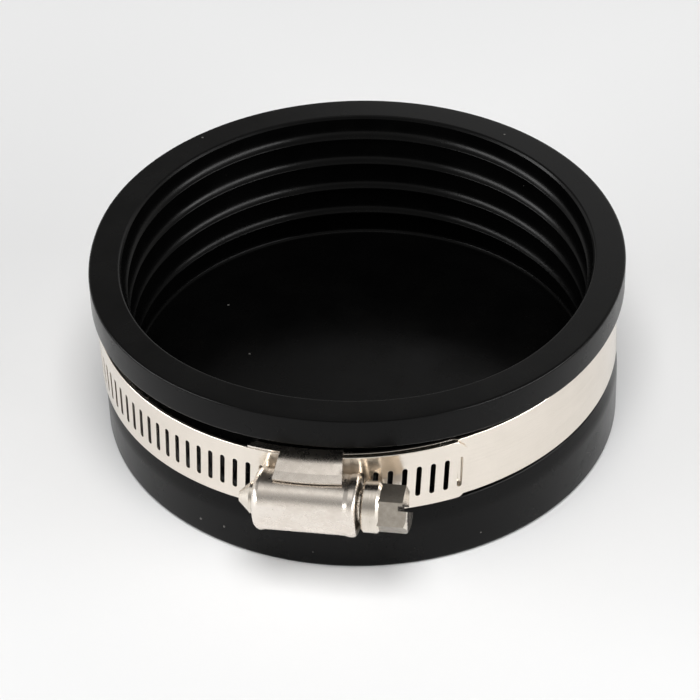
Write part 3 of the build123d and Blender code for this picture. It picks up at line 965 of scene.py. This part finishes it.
def rubber_material():
    """Satin black moulded rubber: fine grain, faint smudges and a little dust."""
    nodes = Nodes("black_rubber")
    place = nodes.place()
    smudges = nodes.noise(place, scale=90, detail=4.0, roughness=0.6)
    grain = nodes.noise(place, scale=3500, detail=3.0, roughness=0.6)
    ripple = nodes.noise(place, scale=160)
    specks = nodes.add("ShaderNodeTexVoronoi")
    specks.inputs["Scale"].default_value = DUST_CELLS
    specks.inputs["Randomness"].default_value = 1.0
    nodes.join(place, specks.inputs["Vector"])
    rare = nodes.add("ShaderNodeSeparateColor")
    nodes.join(specks.outputs["Color"], rare.inputs["Color"])
    size = nodes.remap(rare.outputs["Red"], 0.0, DUST_SIZE, DUST_RARITY, 1.0)
    dust = nodes.maths("LESS_THAN", specks.outputs["Distance"], size)
    black = nodes.mix(smudges, *RUBBER_BLACKS)
    cover = nodes.maths("MULTIPLY", dust, DUST_COVER)
    colour = nodes.mix(cover, black, DUST_COLOUR)
    nodes.join(colour, nodes.shader.inputs["Base Color"])
    roughness = nodes.remap(smudges, *RUBBER_ROUGHNESS, from_low=0.25, from_high=0.75)
    nodes.join(roughness, nodes.shader.inputs["Roughness"])
    nodes.shader.inputs["IOR"].default_value = RUBBER_IOR
    normal = nodes.bump(ripple, strength=0.25, distance=0.08 * MM)
    normal = nodes.bump(grain, strength=0.25, distance=0.02 * MM, before=normal)
    nodes.join(normal, nodes.shader.inputs["Normal"])
    return nodes.material


def steel_material(name, pale, dark, streaks, rough):
    """Stainless steel with fine lines. Streaks are the coordinates' scale, high across the lines."""
    nodes = Nodes(name)
    to_clamp = CLAMP.to_3x3().inverted().to_euler()
    lines = nodes.noise(nodes.place(to_clamp, streaks), scale=1.0, detail=3.0, roughness=0.65)
    place = nodes.place(to_clamp)
    cloud = nodes.noise(place, scale=140, detail=3.0, roughness=0.55)
    pits = nodes.noise(place, scale=2600)
    line_part = nodes.maths("MULTIPLY", lines, LINE_SHARE)
    cloud_part = nodes.maths("MULTIPLY", cloud, 1 - LINE_SHARE)
    wear = nodes.maths("ADD", line_part, cloud_part)
    colour = nodes.mix(nodes.remap(wear, 0.0, 1.0, *WEAR_RANGE), dark, pale)
    nodes.join(colour, nodes.shader.inputs["Base Color"])
    nodes.shader.inputs["Metallic"].default_value = 1.0
    roughness = nodes.remap(wear, rough * ROUGH_SPREAD[0], rough * ROUGH_SPREAD[1], *WEAR_RANGE)
    nodes.join(roughness, nodes.shader.inputs["Roughness"])
    normal = nodes.bump(lines, strength=0.25, distance=0.02 * MM)
    normal = nodes.bump(pits, strength=0.2, distance=0.01 * MM, before=normal)
    normal = nodes.bump(cloud, strength=0.15, distance=0.2 * MM, before=normal)
    nodes.join(normal, nodes.shader.inputs["Normal"])
    return nodes.material


# ---- floor, light and camera ---------------------------------------------------------------
def make_floor():
    """A plain pale table."""
    mesh = bmesh.new()
    corners = [(-1, -1), (1, -1), (1, 1), (-1, 1)]
    mesh.faces.new([mesh.verts.new((x * FLOOR_HALF, y * FLOOR_HALF, 0)) for x, y in corners])
    floor = new_piece("floor", mesh)
    nodes = Nodes("white_table")
    colour = nodes.mix(nodes.noise(nodes.place(), scale=3.0), *FLOOR_TONES)
    nodes.join(colour, nodes.shader.inputs["Base Color"])
    nodes.shader.inputs["Roughness"].default_value = 0.6
    nodes.shader.inputs["Specular IOR Level"].default_value = 0.2
    floor.data.materials.append(nodes.material)


def make_world():
    """A grey room that shows only in reflections and lights nothing."""
    world = bpy.data.worlds.new("studio")
    bpy.context.scene.world = world
    world.use_nodes = True
    tree = world.node_tree
    background = tree.nodes["Background"]
    world.cycles_visibility.diffuse = False
    coordinates = tree.nodes.new("ShaderNodeTexCoord")
    split = tree.nodes.new("ShaderNodeSeparateXYZ")
    ramp = tree.nodes.new("ShaderNodeValToRGB")
    tree.links.new(coordinates.outputs["Generated"], split.inputs["Vector"])
    tree.links.new(split.outputs["Z"], ramp.inputs["Fac"])
    tree.links.new(ramp.outputs["Color"], background.inputs["Color"])
    stops = ramp.color_ramp.elements
    while len(stops) > 1:
        stops.remove(stops[-1])
    for position, grey in ROOM_GREYS:
        stop = stops.new(position)
        stop.color = (*[grey * tint for tint in ROOM_TINT], 1)
    stops.remove(stops[0])


def make_lights():
    """Long soft lights at the sides, a weak one behind, and a large one high in front."""
    for name, (place, aim, size, watts, glossy) in LIGHTS.items():
        data = bpy.data.lights.new(name, "AREA")
        data.shape = "RECTANGLE"
        data.size, data.size_y = size
        data.energy = watts
        light = bpy.data.objects.new(name, data)
        bpy.context.scene.collection.objects.link(light)
        light.location = place
        light.rotation_mode = "QUATERNION"
        light.rotation_quaternion = (Vector(aim) - Vector(place)).to_track_quat("-Z", "Y")
        light.visible_glossy = glossy


def make_camera():
    """The photograph's viewing angle."""
    data = bpy.data.cameras.new("camera")
    data.lens = LENS
    data.sensor_width = SENSOR_WIDTH
    data.clip_start = NEAR_CLIP
    camera = bpy.data.objects.new("camera", data)
    bpy.context.scene.collection.objects.link(camera)
    azimuth, elevation = math.radians(VIEW_AZIMUTH), math.radians(VIEW_ELEVATION)
    back = Vector((
        math.sin(azimuth) * math.cos(elevation),
        -math.cos(azimuth) * math.cos(elevation),
        math.sin(elevation),
    ))
    camera.location = VIEW_AIM + back * VIEW_DISTANCE
    camera.rotation_mode = "QUATERNION"
    level = (-back).to_track_quat("-Z", "Y")
    camera.rotation_quaternion = level @ Quaternion((0, 0, 1), math.radians(VIEW_ROLL))
    bpy.context.scene.camera = camera


# ---- everything together -------------------------------------------------------------------
bpy.context.scene.view_settings.view_transform = "Standard"
band_steel, pressed_steel, screw_steel, shaded_facet_steel = (
    steel_material(name, *settings) for name, settings in STEELS.items()
)
make_end_cap(rubber_material())
make_band_strap(band_steel)
make_band_slotted(band_steel)
make_saddle(pressed_steel)
make_screw_housing(pressed_steel)
make_worm_screw(screw_steel, shaded_facet_steel)
make_floor()
make_world()
make_lights()
make_camera()
